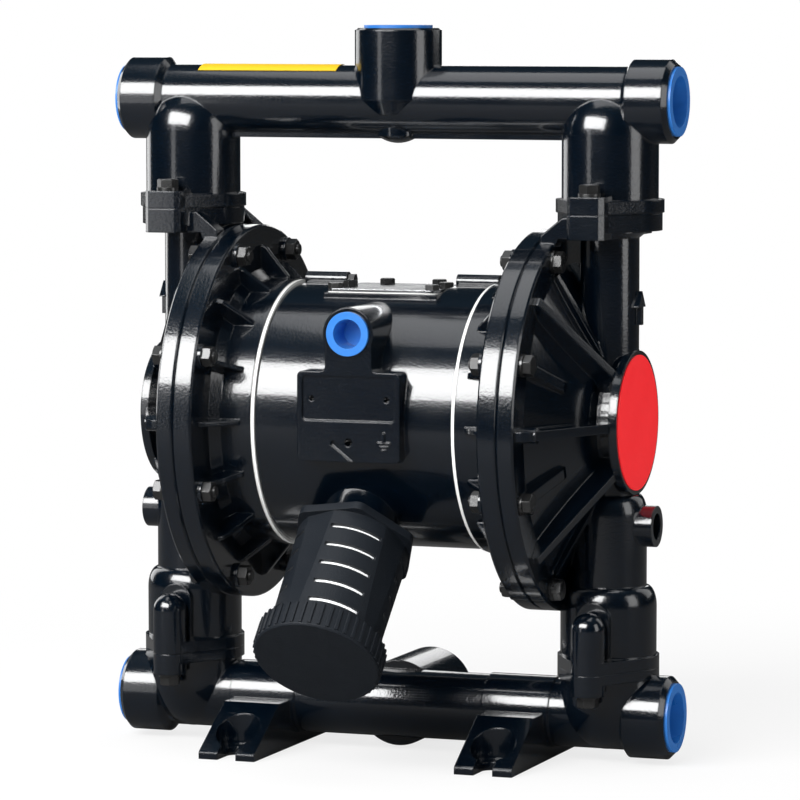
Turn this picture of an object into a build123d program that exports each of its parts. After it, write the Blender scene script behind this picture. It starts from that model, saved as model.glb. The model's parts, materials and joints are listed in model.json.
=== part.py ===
from build123d import *
from math import cos, radians, sin, sqrt
import os

# Air operated diaphragm pump with one inch ports, in cast aluminium.
# Frame: X along the diaphragm shaft (left is -X), Y from front to back, Z up from the floor.
# The origin is on the floor under the middle of the pump. All sizes are in millimetres.

os.makedirs("parts", exist_ok=True)

# ---------------------------------------------------------------- heights and spans
inlet_axis_z = 25.0          # floor to the inlet manifold's axis
inlet_joint_rise = 26.5      # inlet manifold's axis to its flange joint
disc_r = 101.6               # flanges of the two covers
disc_foot = 28.9             # inlet joint up to the lowest point of the discs
disc_head = 9.9              # highest point of the discs up to the outlet joint
outlet_rise = 58.5           # outlet joint up to the outlet manifold's axis
housing_half = 55.4          # middle of the pump to each end of the housing
cover_depth = 34.6           # end of the housing to the seam between a side's two covers
riser_reach = 29.3           # seam to the riser
port_reach = 36.7            # riser to the face of its side port

inlet_joint_z = inlet_axis_z + inlet_joint_rise
shaft_z = inlet_joint_z + disc_foot + disc_r
outlet_joint_z = shaft_z + disc_r + disc_head
outlet_axis_z = outlet_joint_z + outlet_rise
seam_x = housing_half + cover_depth
riser_x = seam_x + riser_reach
port_face_x = riser_x + port_reach

# ---------------------------------------------------------------- clearances
slip = 0.05                  # radial, between a shaft, pin or seat and its hole
screw_room = 0.3             # radial, between a screw's shank and a plain hole
soft_gap = 0.3               # between bodies that only meet when they move
edge_break = 1.0             # bevel on the cast rims

# ---------------------------------------------------------------- manifolds
tube_r = 18.4
tube_bore_r = 13.4
branch_bore_r = 12.6         # where a riser or a middle port meets the tube's bore
cap_r = 22.25
cap_length = 22.7
cap_taper = 3.0
cap_chamfer = 2.6
port_bore_r = 15.15          # crests of a one inch pipe thread
port_depth = 23.0
riser_r = 25.7
dome_rise = 41.5             # outlet joint to the centre of a riser's dome
mid_port_r = 23.4
top_port_height = 38.3       # outlet manifold's axis to the face of the top port
rear_port_reach = 55.0       # inlet manifold's axis to the face of the rear port
port_root = 7.8              # the top port's cone, down its tube
keel_width = 9.0
keel_depth = 20.8            # outlet manifold's axis to the underside of its keel
knob_r = 11.0
knob_depth = 23.3
knob_crown = 3.8
outlet_flange_r = 28.8
outlet_flange_t = 7.0
inlet_flange_r = 27.2
inlet_flange_t = 5.6
ear_y = 36.0                 # riser's axis to each joint bolt
ear_r = 9.0
ear_block = (20.4, 18.6)     # upper joints' ears, along and across the pump
ear_block_corner = 2.6
outlet_ear_t = 9.5
inlet_ear_t = 11.5

# ---------------------------------------------------------------- check valves
seat_r = 19.0
seat_t = 7.0
seat_bore_r = 11.5
seat_lip_r = 13.0
seat_lip_depth = 2.5
ball_r = 15.0
ball_gap = 0.2               # between a resting ball and the lip of its seat
ball_lift = 8.0
cage_r = 18.5
guide_t = 3.0
guide_gap = 0.4              # between a ball and the guides of its cage
guide_count = 4
stop_t = 4.0
stop_hole_r = 3.0
cage_cone = 8.0
seal_r = 1.2                 # section of the seat seal
seal_mid_r = 22.0

ball_rest = sqrt((ball_r + ball_gap) ** 2 - seat_lip_r ** 2)
stop_rise = ball_rest + ball_r + ball_lift + soft_gap
cage_height = stop_rise + stop_t

# ---------------------------------------------------------------- feet
foot_x = 72.5
foot_width = 32.0
foot_reach = 70.0
foot_toe_t = 4.5
foot_shoulder_y = 33.0
foot_core_wall = 4.0
foot_core_depth = 9.0
foot_core_reach = 40.0
saddle_r = 19.2
saddle_width = 37.5
slot_width = 10.5
slot_y = 56.0
spot_r = 12.0
spot_y = 53.0

# ---------------------------------------------------------------- covers of the two chambers
bolt_inset = 8.1             # edge of the disc to the bolt circle
bolt_count = 8
fluid_flange_t = 9.3
air_flange_t = 10.7
bead_inset = 6.5             # bolt circle to the diaphragm's bead
bead_width = 7.0
bead_half_t = 2.5
dome_root_step = 4.0
dome_depth = 29.5            # seam to the end of the dome
dome_end_r = 37.0
dome_bulge = 0.8
dome_wall = 5.5
chamber_step = 5.5           # seam to the start of the dome's inside
neck_r = 27.0
neck_bore_r = 20.0
plate_r = 38.3
plate_t = 4.5
upper_pipe_r = 15.7
upper_bore_r = 11.5
lower_pipe_r = 20.3
lower_bore_r = 14.0
collar_r = 19.5
collar_drop = 10.5
cover_top_flange_r = 27.8
cover_top_flange_t = 9.5
cover_top_ear_t = 13.0
cover_foot_flange_r = 27.2
cover_foot_flange_t = 6.5
thumb_height = 32.5
thumb_pad_y = 28.0
thumb_pad_rise = 27.8
shoulder_rise = 11.0
drain_rise = 75.5            # inlet joint to the drain boss
drain_r = 11.0
drain_hole_r = 7.0
drain_hole_depth = 6.0
drain_reach = 26.7           # riser's axis to the face of the drain boss
arrow_drop = 59.5            # outlet joint to the foot of the flow arrow
arrow_head = (12.0, 8.5)
arrow_stem = (4.0, 9.4)
arrow_proud = 2.4
main_rib_t = 5.0
small_rib_t = 3.6
short_rib_t = 6.0
lug_r = 4.2
gusset_y = 29.0
gusset_t = 10.0

bolt_circle_r = disc_r - bolt_inset
bead_outer_r = bolt_circle_r - bead_inset
bead_inner_r = bead_outer_r - bead_width
dome_root_r = bead_inner_r + dome_root_step
chamber_r = bead_inner_r - dome_root_step
plate_face_x = riser_x + upper_pipe_r
plate_back_x = plate_face_x - plate_t
dome_end_x = seam_x + dome_depth
flange_face_x = seam_x + fluid_flange_t
air_back_x = seam_x - air_flange_t

# ---------------------------------------------------------------- centre housing
housing_r = 70.5
housing_bore_r = 62.0
housing_web_t = 8.0
housing_hub_r = 17.0
gasket_t = 1.8
gasket_proud = 1.5
pad_y = 77.0                 # shaft's axis to the face of the name pad
pad_width = 57.4
pad_height = 47.5
pad_rise = 5.25              # shaft's axis to the middle of the pad
pad_corner_r = 3.0
plate_recess = (52.0, 23.5)
plate_recess_depth = 1.0
plate_rise = 14.8
rivet_x = 21.0
rivet_r = 1.5
earth_hole_r = 2.1
earth_hole_depth = 8.0
earth_drop = 8.1             # shaft's axis down to the earth screw
earth_mark_x = 20.0
air_port_rise = 49.0
air_port_r = 14.0
air_port_neck = 26.0
air_bore_r = 9.3             # crests of a half inch pipe thread
air_port_depth = 18.0
air_passage_r = 5.0
pedestal_rise = 67.4         # shaft's axis to the seat of the valve cover
pedestal_half_x = 32.0
pedestal_half_y = 29.0
chest_floor_t = 6.0
gallery_r = 4.0
gallery_y = 8.0
gallery_rise = 4.9           # pedestal to the galleries' axis, over the valve cover
gallery_start_x = 31.5
exhaust_x = -2.5
exhaust_angle = 45.4         # to the front, below the horizontal
exhaust_boss_r = 20.0
exhaust_reach = 86.0         # shaft's axis to the face of the exhaust boss

gasket_x = housing_half + gasket_t
pedestal_z = shaft_z + pedestal_rise
air_port_z = shaft_z + air_port_rise
gallery_z = pedestal_z + gallery_rise

# ---------------------------------------------------------------- air cover
hub_ring_proud = 2.0
hub_ring_bore_r = 62.0
hub_bore_r = 12.0
hub_r = 20.0
hub_length = 13.3
web_rise = 7.3               # housing gasket to the back of the web
air_rib_t = 2.6
air_rib_count = 16
nut_boss_r = 6.5
nut_boss_t = 2.0

hub_ring_r = housing_r + hub_ring_proud
hub_face_x = gasket_x + hub_length
web_back_x = gasket_x + web_rise

# ---------------------------------------------------------------- shaft and diaphragms
shaft_r = 9.0
stud_r = 6.0
shaft_stroke = 8.0
bush_room = 0.4              # between a bush and its seal
shaft_seal_t = 3.6
diaphragm_half_t = 1.5
convolution = 4.5
clamp_plate_r = 42.0
clamp_plate_t = 6.5
clamp_plate_round = 2.5
stud_nut_af = 19.0
stud_nut_t = 8.0
stud_tip = 2.0
pilot_r = 2.5
pilot_collar_r = 4.5
pilot_collar_t = 2.2
pilot_tail = 3.0
pilot_rise = 30.0            # shaft's axis to the pilot pins

inner_plate_back_x = seam_x - diaphragm_half_t - clamp_plate_t
pilot_tip_x = inner_plate_back_x - shaft_stroke - soft_gap

# ---------------------------------------------------------------- air valve
valve_cover_size = (62.0, 56.0)
valve_cover_t = 1.5
valve_cover_corner_r = 4.0
valve_gasket_t = 0.5
valve_pocket = (44.0, 36.0)
valve_pocket_depth = 28.0
valve_body_gap = 0.3
valve_screws = [(-27.5, -23.0), (27.5, -23.0), (-27.5, 0.0), (27.5, 0.0), (-15.0, 24.0), (15.0, 24.0)]
spool_r = 7.0
spool_groove_r = 4.5
spool_length = 29.0
spool_land = 5.0
spool_drop = 14.4            # pedestal down to the spool's axis

# ---------------------------------------------------------------- muffler, outwards from its boss
hex_flange_r = 35.5
hex_flange_t = 4.5
hex_flange_turn = 10.0
hex_corner_r = 6.0
muffler_top_r = 30.2
muffler_end_r = 29.0
muffler_length = 74.0        # hexagon to the body's end, inside the end cap
muffler_wall = 2.6
flat_depth = 1.2
panel_turn = 66.0            # middle of the first slotted panel, from +X
panel_span = 27.5            # half of the angle that a slot covers
panel_count = 4
slot_rows = 5
slot_first = 9.5
slot_pitch = 11.9
slot_t = 2.6
liner_gap = 0.8
liner_wall = 3.0
end_cap_r = 33.6
end_cap_length = 14.4
end_cap_floor = 3.0
end_cap_lap = 11.0
grip_rib_count = 44
grip_rib_t = 1.7
grip_rib_proud = 0.8
nipple_r = 10.0
nipple_bore_r = 7.5
nipple_in = 20.0
nipple_out = 9.0

# ---------------------------------------------------------------- fasteners
m6_r = 3.0
m6_af = 10.0
m6_head_t = 4.6
m6_nut_t = 5.0
m6_washer_r = 6.0
m6_washer_t = 1.6
m6_tip = 1.0
joint_thread = 11.0          # how far a joint bolt is screwed in
m4_r = 2.0
m4_af = 7.0
m4_head_t = 2.9
m4_grip = 8.0
m3_r = 1.5
m3_af = 5.5
m3_head_t = 4.0

# ---------------------------------------------------------------- transport plugs and labels
port_plug_r = 18.4
air_plug_r = 11.7
plug_flange_t = 1.6
plug_wall = 1.5
plug_depth = 19.0
air_plug_depth = 14.0
plug_taper = 3.0
label_r = 36.0
label_t = 0.5
strip_x = (-112.0, -32.0)
strip_t = 0.3
strip_glue_t = 0.1
strip_arc = 68.0

sides = {"left": -1, "right": 1}
shaft_axis = Axis((0, 0, shaft_z), (1, 0, 0))


def section(z):
    """Plane of the front view at y = 0: local x to the right, local y up from height z."""
    return Plane(origin=(0, 0, z), x_dir=(1, 0, 0), z_dir=(0, -1, 0))


def facing(side, x, z):
    """Plane square to X whose normal points away from the middle of the pump."""
    return Plane(origin=(side * x, 0, z), x_dir=(0, 1, 0), z_dir=(side, 0, 0))


def radial(angle, z=shaft_z):
    """Half plane through an axis along X: local x along it, local y outwards, from the back upwards."""
    turn = radians(angle)
    return Plane(origin=(0, 0, z), x_dir=(1, 0, 0), z_dir=(0, -sin(turn), cos(turn)))


def exhaust(reach):
    """Plane square to the exhaust, this far from the shaft's axis, with its normal outwards."""
    slope = radians(exhaust_angle)
    out = Vector(0, -cos(slope), -sin(slope))
    return Plane(origin=Vector(exhaust_x, 0, shaft_z) + out * reach, x_dir=(1, 0, 0), z_dir=out)


def riser_section(side):
    """Plane of the front view with its local origin on the floor under one riser."""
    return Plane(origin=(side * riser_x, 0, 0), x_dir=(1, 0, 0), z_dir=(0, -1, 0))


def riser_axis(side):
    return Axis((side * riser_x, 0, 0), (0, 0, 1))


def on_circle(radius, count, start=0.0):
    """Places on a circle about a plane's origin."""
    turns = [radians(start + 360.0 * k / count) for k in range(count)]
    return [(radius * cos(turn), radius * sin(turn)) for turn in turns]


def ears(side):
    """Places of the front and back bolts of one riser's joint, seen from above."""
    return [(side * riser_x, -ear_y), (side * riser_x, ear_y)]


cover_bolt_places = on_circle(bolt_circle_r, bolt_count, 180.0 / bolt_count)


def rods(plane, places, radius, height, mode=Mode.ADD):
    """Round bars standing on a plane, added to or cut from the piece being built."""
    with BuildSketch(plane) as outline:
        with Locations(*places):
            Circle(radius)
    extrude(outline.sketch, amount=height, mode=mode)


def hexes(plane, places, across_flats, height):
    """Hexagonal heads or nuts standing on a plane."""
    with BuildSketch(plane) as outline:
        with Locations(*places):
            RegularPolygon(across_flats / 2, 6, major_radius=False)
    extrude(outline.sketch, amount=height)


def rings(plane, places, outer_r, inner_r, height, mode=Mode.ADD):
    """Flat rings standing on a plane."""
    with BuildSketch(plane) as outline:
        with Locations(*places):
            Circle(outer_r)
            Circle(inner_r, mode=Mode.SUBTRACT)
    extrude(outline.sketch, amount=height, mode=mode)


def turned(plane, axis, points, mode=Mode.ADD):
    """A straight-sided profile turned about an axis in its plane."""
    with BuildSketch(plane) as outline:
        with BuildLine():
            Polyline(*points, close=True)
        make_face()
    revolve(outline.sketch, axis=axis, mode=mode)


def diaphragm_seat(bead_x, web_x):
    """Groove for the diaphragm's bead and shallow step for its web, each cut outwards from its x."""
    rings(
        facing(1, bead_x, shaft_z), [(0, 0)], bead_outer_r + slip, bead_inner_r - slip,
        bead_half_t, Mode.SUBTRACT,
    )
    rings(
        facing(1, web_x, shaft_z), [(0, 0)], bead_inner_r, chamber_r - 2 * diaphragm_half_t,
        diaphragm_half_t, Mode.SUBTRACT,
    )


def save(builder, name):
    """Label a finished piece and write its STEP file."""
    builder.part.label = name
    export_step(builder.part, f"parts/{name}.step")


def manifold_tube(z):
    """Tube along X with a thick cap at each end."""
    cap_x = port_face_x - cap_length
    half = [
        (cap_x - cap_taper, tube_r), (cap_x, cap_r),
        (port_face_x - cap_chamfer, cap_r), (port_face_x, cap_r - cap_chamfer),
    ]
    outline = [(-x, r) for x, r in reversed(half)] + half
    turned(section(z), Axis((0, 0, z), (1, 0, 0)), [(-port_face_x, 0), *outline, (port_face_x, 0)])


def manifold_bore(z):
    """Bore along the tube with a threaded port at each end."""
    for side in sides.values():
        rods(facing(side, 0, z), [(0, 0)], tube_bore_r, port_face_x, Mode.SUBTRACT)
        rods(facing(side, port_face_x - port_depth, z), [(0, 0)], port_bore_r, port_depth, Mode.SUBTRACT)


def joint_plate(side, z, radius, height):
    """Round flange of one riser, drawn out to an ear at the front and at the back."""
    with BuildSketch(Plane.XY.offset(z)) as outline:
        with Locations((side * riser_x, 0)):
            Circle(radius)
        with Locations(*ears(side)):
            Circle(ear_r)
        make_hull()
    extrude(outline.sketch, amount=height)


def ear_blocks(side, z, height):
    """Square ears with broken corners around the bolts of one riser's joint."""
    with BuildSketch(Plane.XY.offset(z)) as blocks:
        with Locations(*ears(side)):
            Rectangle(*ear_block)
        chamfer(blocks.vertices(), ear_block_corner)
    extrude(blocks.sketch, amount=height)


def cage_bars(side, inner_r, z, height):
    """Bars that stand inwards from the wall of a cage to this radius."""
    length = cage_r + slip - inner_r
    with BuildSketch(Plane.XY.offset(z)) as bars:
        with Locations((side * riser_x, 0)):
            with PolarLocations(inner_r + length / 2, guide_count):
                Rectangle(length, guide_t)
    extrude(bars.sketch, amount=height)


def ball_cage(side, lip_z, end_r, end_z):
    """Hollow around a check ball above its seat, with guides along the ball and a stop over it."""
    turned(
        riser_section(side), riser_axis(side),
        [(0, lip_z), (cage_r, lip_z), (cage_r, lip_z + cage_height),
         (end_r, lip_z + cage_height + cage_cone), (end_r, end_z), (0, end_z)],
        Mode.SUBTRACT,
    )
    cage_bars(side, ball_r + guide_gap, lip_z + soft_gap, cage_height - soft_gap)
    cage_bars(side, stop_hole_r, lip_z + stop_rise, stop_t)


def seal_groove(side, joint_z):
    """Groove for the seat seal, in the underside of the piece above a joint."""
    outer = seal_mid_r + seal_r + slip
    inner = seal_mid_r - seal_r - slip
    depth = 2 * seal_r + slip
    rings(Plane.XY.offset(joint_z), [(side * riser_x, 0)], outer, inner, depth, Mode.SUBTRACT)


# ================================================================ outlet manifold
with BuildPart() as outlet_manifold:
    manifold_tube(outlet_axis_z)
    with BuildSketch(Plane.XY.offset(outlet_axis_z - keel_depth)):
        Rectangle(2 * riser_x, keel_width)
    extrude(amount=keel_depth)
    # top port, with a cone down into the tube, and the knob under it
    turned(
        section(outlet_axis_z), Axis.Z,
        [(0, -port_root), (tube_r - edge_break, -port_root), (mid_port_r, 0),
         (mid_port_r, top_port_height - edge_break), (mid_port_r - edge_break, top_port_height),
         (0, top_port_height)],
    )
    with BuildSketch(section(outlet_axis_z)):
        with BuildLine():
            Line((0, 0), (0, -knob_depth))
            TangentArc((0, -knob_depth), (knob_r, knob_crown - knob_depth), tangent=(1, 0))
            Polyline((knob_r, knob_crown - knob_depth), (knob_r, 0), (0, 0))
        make_face()
    revolve(axis=Axis.Z)
    for side in sides.values():
        with BuildSketch(riser_section(side)):
            with BuildLine():
                Polyline(
                    (0, outlet_joint_z + dome_rise + riser_r), (0, outlet_joint_z),
                    (riser_r, outlet_joint_z), (riser_r, outlet_joint_z + dome_rise),
                )
                CenterArc((0, outlet_joint_z + dome_rise), riser_r, 0, 90)
            make_face()
        revolve(axis=riser_axis(side))
        joint_plate(side, outlet_joint_z, outlet_flange_r, outlet_flange_t)
        ear_blocks(side, outlet_joint_z, outlet_ear_t)
    manifold_bore(outlet_axis_z)
    rods(Plane.XY.offset(outlet_axis_z), [(0, 0)], branch_bore_r, top_port_height, Mode.SUBTRACT)
    top_port_floor = outlet_axis_z + top_port_height - port_depth
    rods(Plane.XY.offset(top_port_floor), [(0, 0)], port_bore_r, port_depth, Mode.SUBTRACT)
    for side in sides.values():
        ball_cage(side, outlet_joint_z, branch_bore_r, outlet_axis_z)
        seal_groove(side, outlet_joint_z)
        rods(Plane.XY.offset(outlet_joint_z), ears(side), m6_r + screw_room, outlet_ear_t, Mode.SUBTRACT)
save(outlet_manifold, "outlet_manifold")

# ================================================================ inlet manifold with its feet
with BuildPart() as inlet_manifold:
    manifold_tube(inlet_axis_z)
    for side in sides.values():
        # saddle where the foot wraps the tube
        rods(facing(side, foot_x - saddle_width / 2, inlet_axis_z), [(0, 0)], saddle_r, saddle_width)
        with BuildSketch(facing(side, foot_x - foot_width / 2, 0)):
            with BuildLine():
                rise = side * (inlet_axis_z + edge_break)
                toe = side * foot_toe_t
                toe_edge = toe - side * edge_break
                Polyline(
                    (-foot_reach, 0), (-foot_reach, toe_edge), (-foot_reach + edge_break, toe),
                    (-foot_shoulder_y, rise), (foot_shoulder_y, rise),
                    (foot_reach - edge_break, toe), (foot_reach, toe_edge), (foot_reach, 0),
                    close=True,
                )
            make_face()
        extrude(amount=foot_width)
        # riser from the tube to the joint, with a round bottom level with the tube's
        with BuildSketch(riser_section(side)):
            with BuildLine():
                ball_z = inlet_axis_z + riser_r - tube_r
                CenterArc((0, ball_z), riser_r, -90, 90)
                Polyline(
                    (riser_r, ball_z), (riser_r, inlet_joint_z),
                    (0, inlet_joint_z), (0, ball_z - riser_r),
                )
            make_face()
        revolve(axis=riser_axis(side))
        joint_plate(side, inlet_joint_z - inlet_flange_t, inlet_flange_r, inlet_flange_t)
        rods(Plane.XY.offset(inlet_joint_z - inlet_ear_t), ears(side), ear_r, inlet_ear_t)
    with BuildSketch(Plane.XZ):
        with Locations((0, inlet_axis_z)):
            Circle(mid_port_r)
    extrude(amount=-rear_port_reach)
    manifold_bore(inlet_axis_z)
    with BuildSketch(Plane.XZ):
        with Locations((0, inlet_axis_z)):
            Circle(branch_bore_r)
    extrude(amount=-rear_port_reach, mode=Mode.SUBTRACT)
    with BuildSketch(Plane.XZ.offset(port_depth - rear_port_reach)):
        with Locations((0, inlet_axis_z)):
            Circle(port_bore_r)
    extrude(amount=-port_depth, mode=Mode.SUBTRACT)
    for side in sides.values():
        riser = [(side * riser_x, 0)]
        rods(Plane.XY.offset(inlet_axis_z), riser, seat_bore_r, inlet_joint_rise, Mode.SUBTRACT)
        rods(Plane.XY.offset(inlet_joint_z - seat_t), riser, seat_r + slip, seat_t, Mode.SUBTRACT)
        rods(
            Plane.XY.offset(inlet_joint_z - inlet_ear_t), ears(side), m6_r + screw_room,
            inlet_ear_t, Mode.SUBTRACT,
        )
        # open slot, spot face and cored underside of each foot
        for end in (-1, 1):
            with BuildSketch(Plane.XY):
                with Locations((side * foot_x, end * slot_y)):
                    Circle(slot_width / 2)
                with Locations((side * foot_x, end * (slot_y + foot_reach) / 2)):
                    Rectangle(slot_width, foot_reach - slot_y)
            extrude(amount=inlet_axis_z, mode=Mode.SUBTRACT)
            spot = [(side * foot_x, end * spot_y)]
            rods(Plane.XY.offset(foot_toe_t), spot, spot_r, inlet_axis_z, Mode.SUBTRACT)
        with BuildSketch(Plane.XY):
            with Locations((side * foot_x, 0)):
                Rectangle(foot_width - 2 * foot_core_wall, 2 * foot_core_reach)
        extrude(amount=foot_core_depth, taper=10, mode=Mode.SUBTRACT)
    # the core must not open the tube, so its wall is put back
    for side in sides.values():
        rings(
            facing(side, foot_x - saddle_width / 2, inlet_axis_z), [(0, 0)],
            saddle_r, tube_bore_r, saddle_width,
        )
save(inlet_manifold, "inlet_manifold")

# ================================================================ fluid covers
rib_root = [
    (plate_back_x, neck_r - edge_break), (dome_end_x + edge_break, neck_r - edge_break),
    (dome_end_x - edge_break, dome_end_r - edge_break),
    (flange_face_x - edge_break, dome_root_r - 2 * edge_break),
]


def rib(angle, thickness, points):
    """Flat rib in a half plane through the shaft's axis."""
    with BuildSketch(radial(angle)) as outline:
        with BuildLine():
            Polyline(*points, close=True)
        make_face()
    extrude(outline.sketch, amount=thickness / 2, both=True)


with BuildPart() as fluid_cover:
    # clamping disc, dome, neck and end plate
    with BuildSketch(section(shaft_z)):
        with BuildLine():
            Polyline(
                (seam_x, 0), (seam_x, disc_r - edge_break), (seam_x + edge_break, disc_r),
                (flange_face_x - edge_break, disc_r), (flange_face_x, disc_r - edge_break),
                (flange_face_x, dome_root_r),
            )
            SagittaArc((flange_face_x, dome_root_r), (dome_end_x, dome_end_r), -dome_bulge)
            Polyline(
                (dome_end_x, dome_end_r), (dome_end_x + edge_break, neck_r), (plate_back_x, neck_r),
                (plate_back_x, plate_r), (plate_face_x, plate_r), (plate_face_x, 0), (seam_x, 0),
            )
        make_face()
    revolve(axis=shaft_axis)
    # ball housing, lower pipe and upper pipe in one upright column
    pipe_top_z = shaft_z - plate_r
    pipe_shoulder_z = pipe_top_z - shoulder_rise
    housing_top_z = inlet_joint_z + thumb_height
    with BuildSketch(riser_section(1)):
        with BuildLine():
            Polyline((0, inlet_joint_z), (riser_r, inlet_joint_z), (riser_r, housing_top_z))
            EllipticalCenterArc(
                (lower_pipe_r, housing_top_z), riser_r - lower_pipe_r, shoulder_rise, arc_size=90,
            )
            Line((lower_pipe_r, housing_top_z + shoulder_rise), (lower_pipe_r, pipe_shoulder_z))
            EllipticalCenterArc(
                (upper_pipe_r, pipe_shoulder_z), lower_pipe_r - upper_pipe_r, shoulder_rise, arc_size=90,
            )
            Polyline(
                (upper_pipe_r, pipe_top_z), (upper_pipe_r, outlet_joint_z - collar_drop - cap_taper),
                (collar_r, outlet_joint_z - collar_drop), (collar_r, outlet_joint_z),
                (0, outlet_joint_z), (0, inlet_joint_z),
            )
        make_face()
    revolve(axis=riser_axis(1))
    # flanges and ears
    joint_plate(1, outlet_joint_z - cover_top_flange_t, cover_top_flange_r, cover_top_flange_t)
    ear_blocks(1, outlet_joint_z - cover_top_ear_t, cover_top_ear_t)
    joint_plate(1, inlet_joint_z, cover_foot_flange_r, cover_foot_flange_t)
    rods(Plane.XY.offset(inlet_joint_z), ears(1), ear_r, thumb_height - ear_r)
    with Locations(*[(x, y, inlet_joint_z + thumb_height - ear_r) for x, y in ears(1)]):
        Sphere(ear_r)
    with BuildSketch(riser_section(1)):
        with Locations((0, inlet_joint_z + thumb_pad_rise)):
            Circle(ear_r)
        with Locations((0, inlet_joint_z + thumb_pad_rise / 2)):
            Rectangle(2 * ear_r, thumb_pad_rise)
    extrude(amount=thumb_pad_y, both=True)
    # gussets from the top flange to the disc
    for y in (-gusset_y, gusset_y):
        with BuildSketch(Plane.XZ.offset(y)):
            with BuildLine():
                Polyline(
                    (riser_x, outlet_joint_z - cover_top_ear_t), (riser_x, outlet_joint_z - 2),
                    (flange_face_x + 4.2, outlet_joint_z - 2), (seam_x + 1.5, outlet_joint_z - 11.7),
                    (seam_x + 1.5, outlet_joint_z - 17.5), (flange_face_x, outlet_joint_z - 17.5),
                    (flange_face_x + 2, outlet_joint_z - cover_top_ear_t), close=True,
                )
            make_face()
        extrude(amount=gusset_t / 2, both=True)
    # ribs
    for angle in (45, 135, 225, 315):
        rib(angle, main_rib_t, [
            (flange_face_x - edge_break, disc_r - 5.8), (flange_face_x + 3.1, disc_r - 5.8),
            (plate_back_x + 1, plate_r - 1), (plate_back_x + 1, neck_r - edge_break), *rib_root,
        ])
    for angle in (67.5, 112.5, 247.5, 292.5):
        rib(angle, small_rib_t, [
            (flange_face_x - edge_break, bead_outer_r - 1), (flange_face_x + 2, bead_outer_r - 1),
            (dome_end_x + 1.5, dome_end_r + 2), *rib_root[2:],
        ])
    for angle in (22.5, 157.5, 202.5, 337.5):
        rib(angle, short_rib_t, [
            (flange_face_x - edge_break, bead_outer_r), (flange_face_x + 4, bead_outer_r),
            (flange_face_x + 13, 60.5), (flange_face_x + 13, 57.0), (flange_face_x + 9, 56.5),
            rib_root[3],
        ])
    for angle in (0, 180):
        rib(angle, main_rib_t, [
            (flange_face_x - edge_break, disc_r - 3), (flange_face_x + 3.5, disc_r - 3),
            (flange_face_x + 7.5, disc_r - 5), (plate_back_x + 1, plate_r + 1),
            (plate_back_x + 1, neck_r - edge_break), *rib_root,
        ])
    rods(facing(1, flange_face_x - edge_break, shaft_z), on_circle(90.0, 2), lug_r, 10.5)
    # drain boss and flow arrow
    drain_z = inlet_joint_z + drain_rise
    rods(facing(1, riser_x, drain_z), [(0, 0)], drain_r, drain_reach)
    rods(
        facing(1, riser_x + drain_reach - drain_hole_depth, drain_z), [(0, 0)], drain_hole_r,
        drain_hole_depth, Mode.SUBTRACT,
    )
    with BuildSketch(facing(1, riser_x + upper_pipe_r - 2, outlet_joint_z - arrow_drop)):
        with Locations((0, arrow_stem[1] / 2)):
            Rectangle(*arrow_stem)
        with BuildLine():
            Polyline(
                (-arrow_head[0] / 2, arrow_stem[1]), (arrow_head[0] / 2, arrow_stem[1]),
                (0, arrow_stem[1] + arrow_head[1]), close=True,
            )
        make_face()
    extrude(amount=2 + arrow_proud)
    # chamber, passages and seat pocket
    with BuildSketch(section(shaft_z)):
        with BuildLine():
            Polyline(
                (seam_x, 0), (seam_x, chamber_r), (seam_x + chamber_step, chamber_r),
                (dome_end_x - dome_wall, dome_end_r - dome_wall), (dome_end_x, neck_bore_r),
                (riser_x + upper_bore_r, neck_bore_r), (riser_x + upper_bore_r, 0), close=True,
            )
        make_face()
    revolve(axis=shaft_axis, mode=Mode.SUBTRACT)
    diaphragm_seat(seam_x, seam_x)
    riser = [(riser_x, 0)]
    rods(Plane.XY.offset(shaft_z), riser, upper_bore_r, outlet_joint_z - shaft_z, Mode.SUBTRACT)
    rods(Plane.XY.offset(pipe_shoulder_z), riser, upper_bore_r, shaft_z - pipe_shoulder_z, Mode.SUBTRACT)
    rods(Plane.XY.offset(outlet_joint_z - seat_t), riser, seat_r + slip, seat_t, Mode.SUBTRACT)
    ball_cage(1, inlet_joint_z, lower_bore_r, pipe_shoulder_z)
    seal_groove(1, inlet_joint_z)
    # bolt holes
    rods(facing(1, seam_x, shaft_z), cover_bolt_places, m6_r + screw_room, fluid_flange_t, Mode.SUBTRACT)
    for z in (inlet_joint_z, outlet_joint_z - joint_thread):
        rods(Plane.XY.offset(z), ears(1), m6_r + slip, joint_thread, Mode.SUBTRACT)

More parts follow.
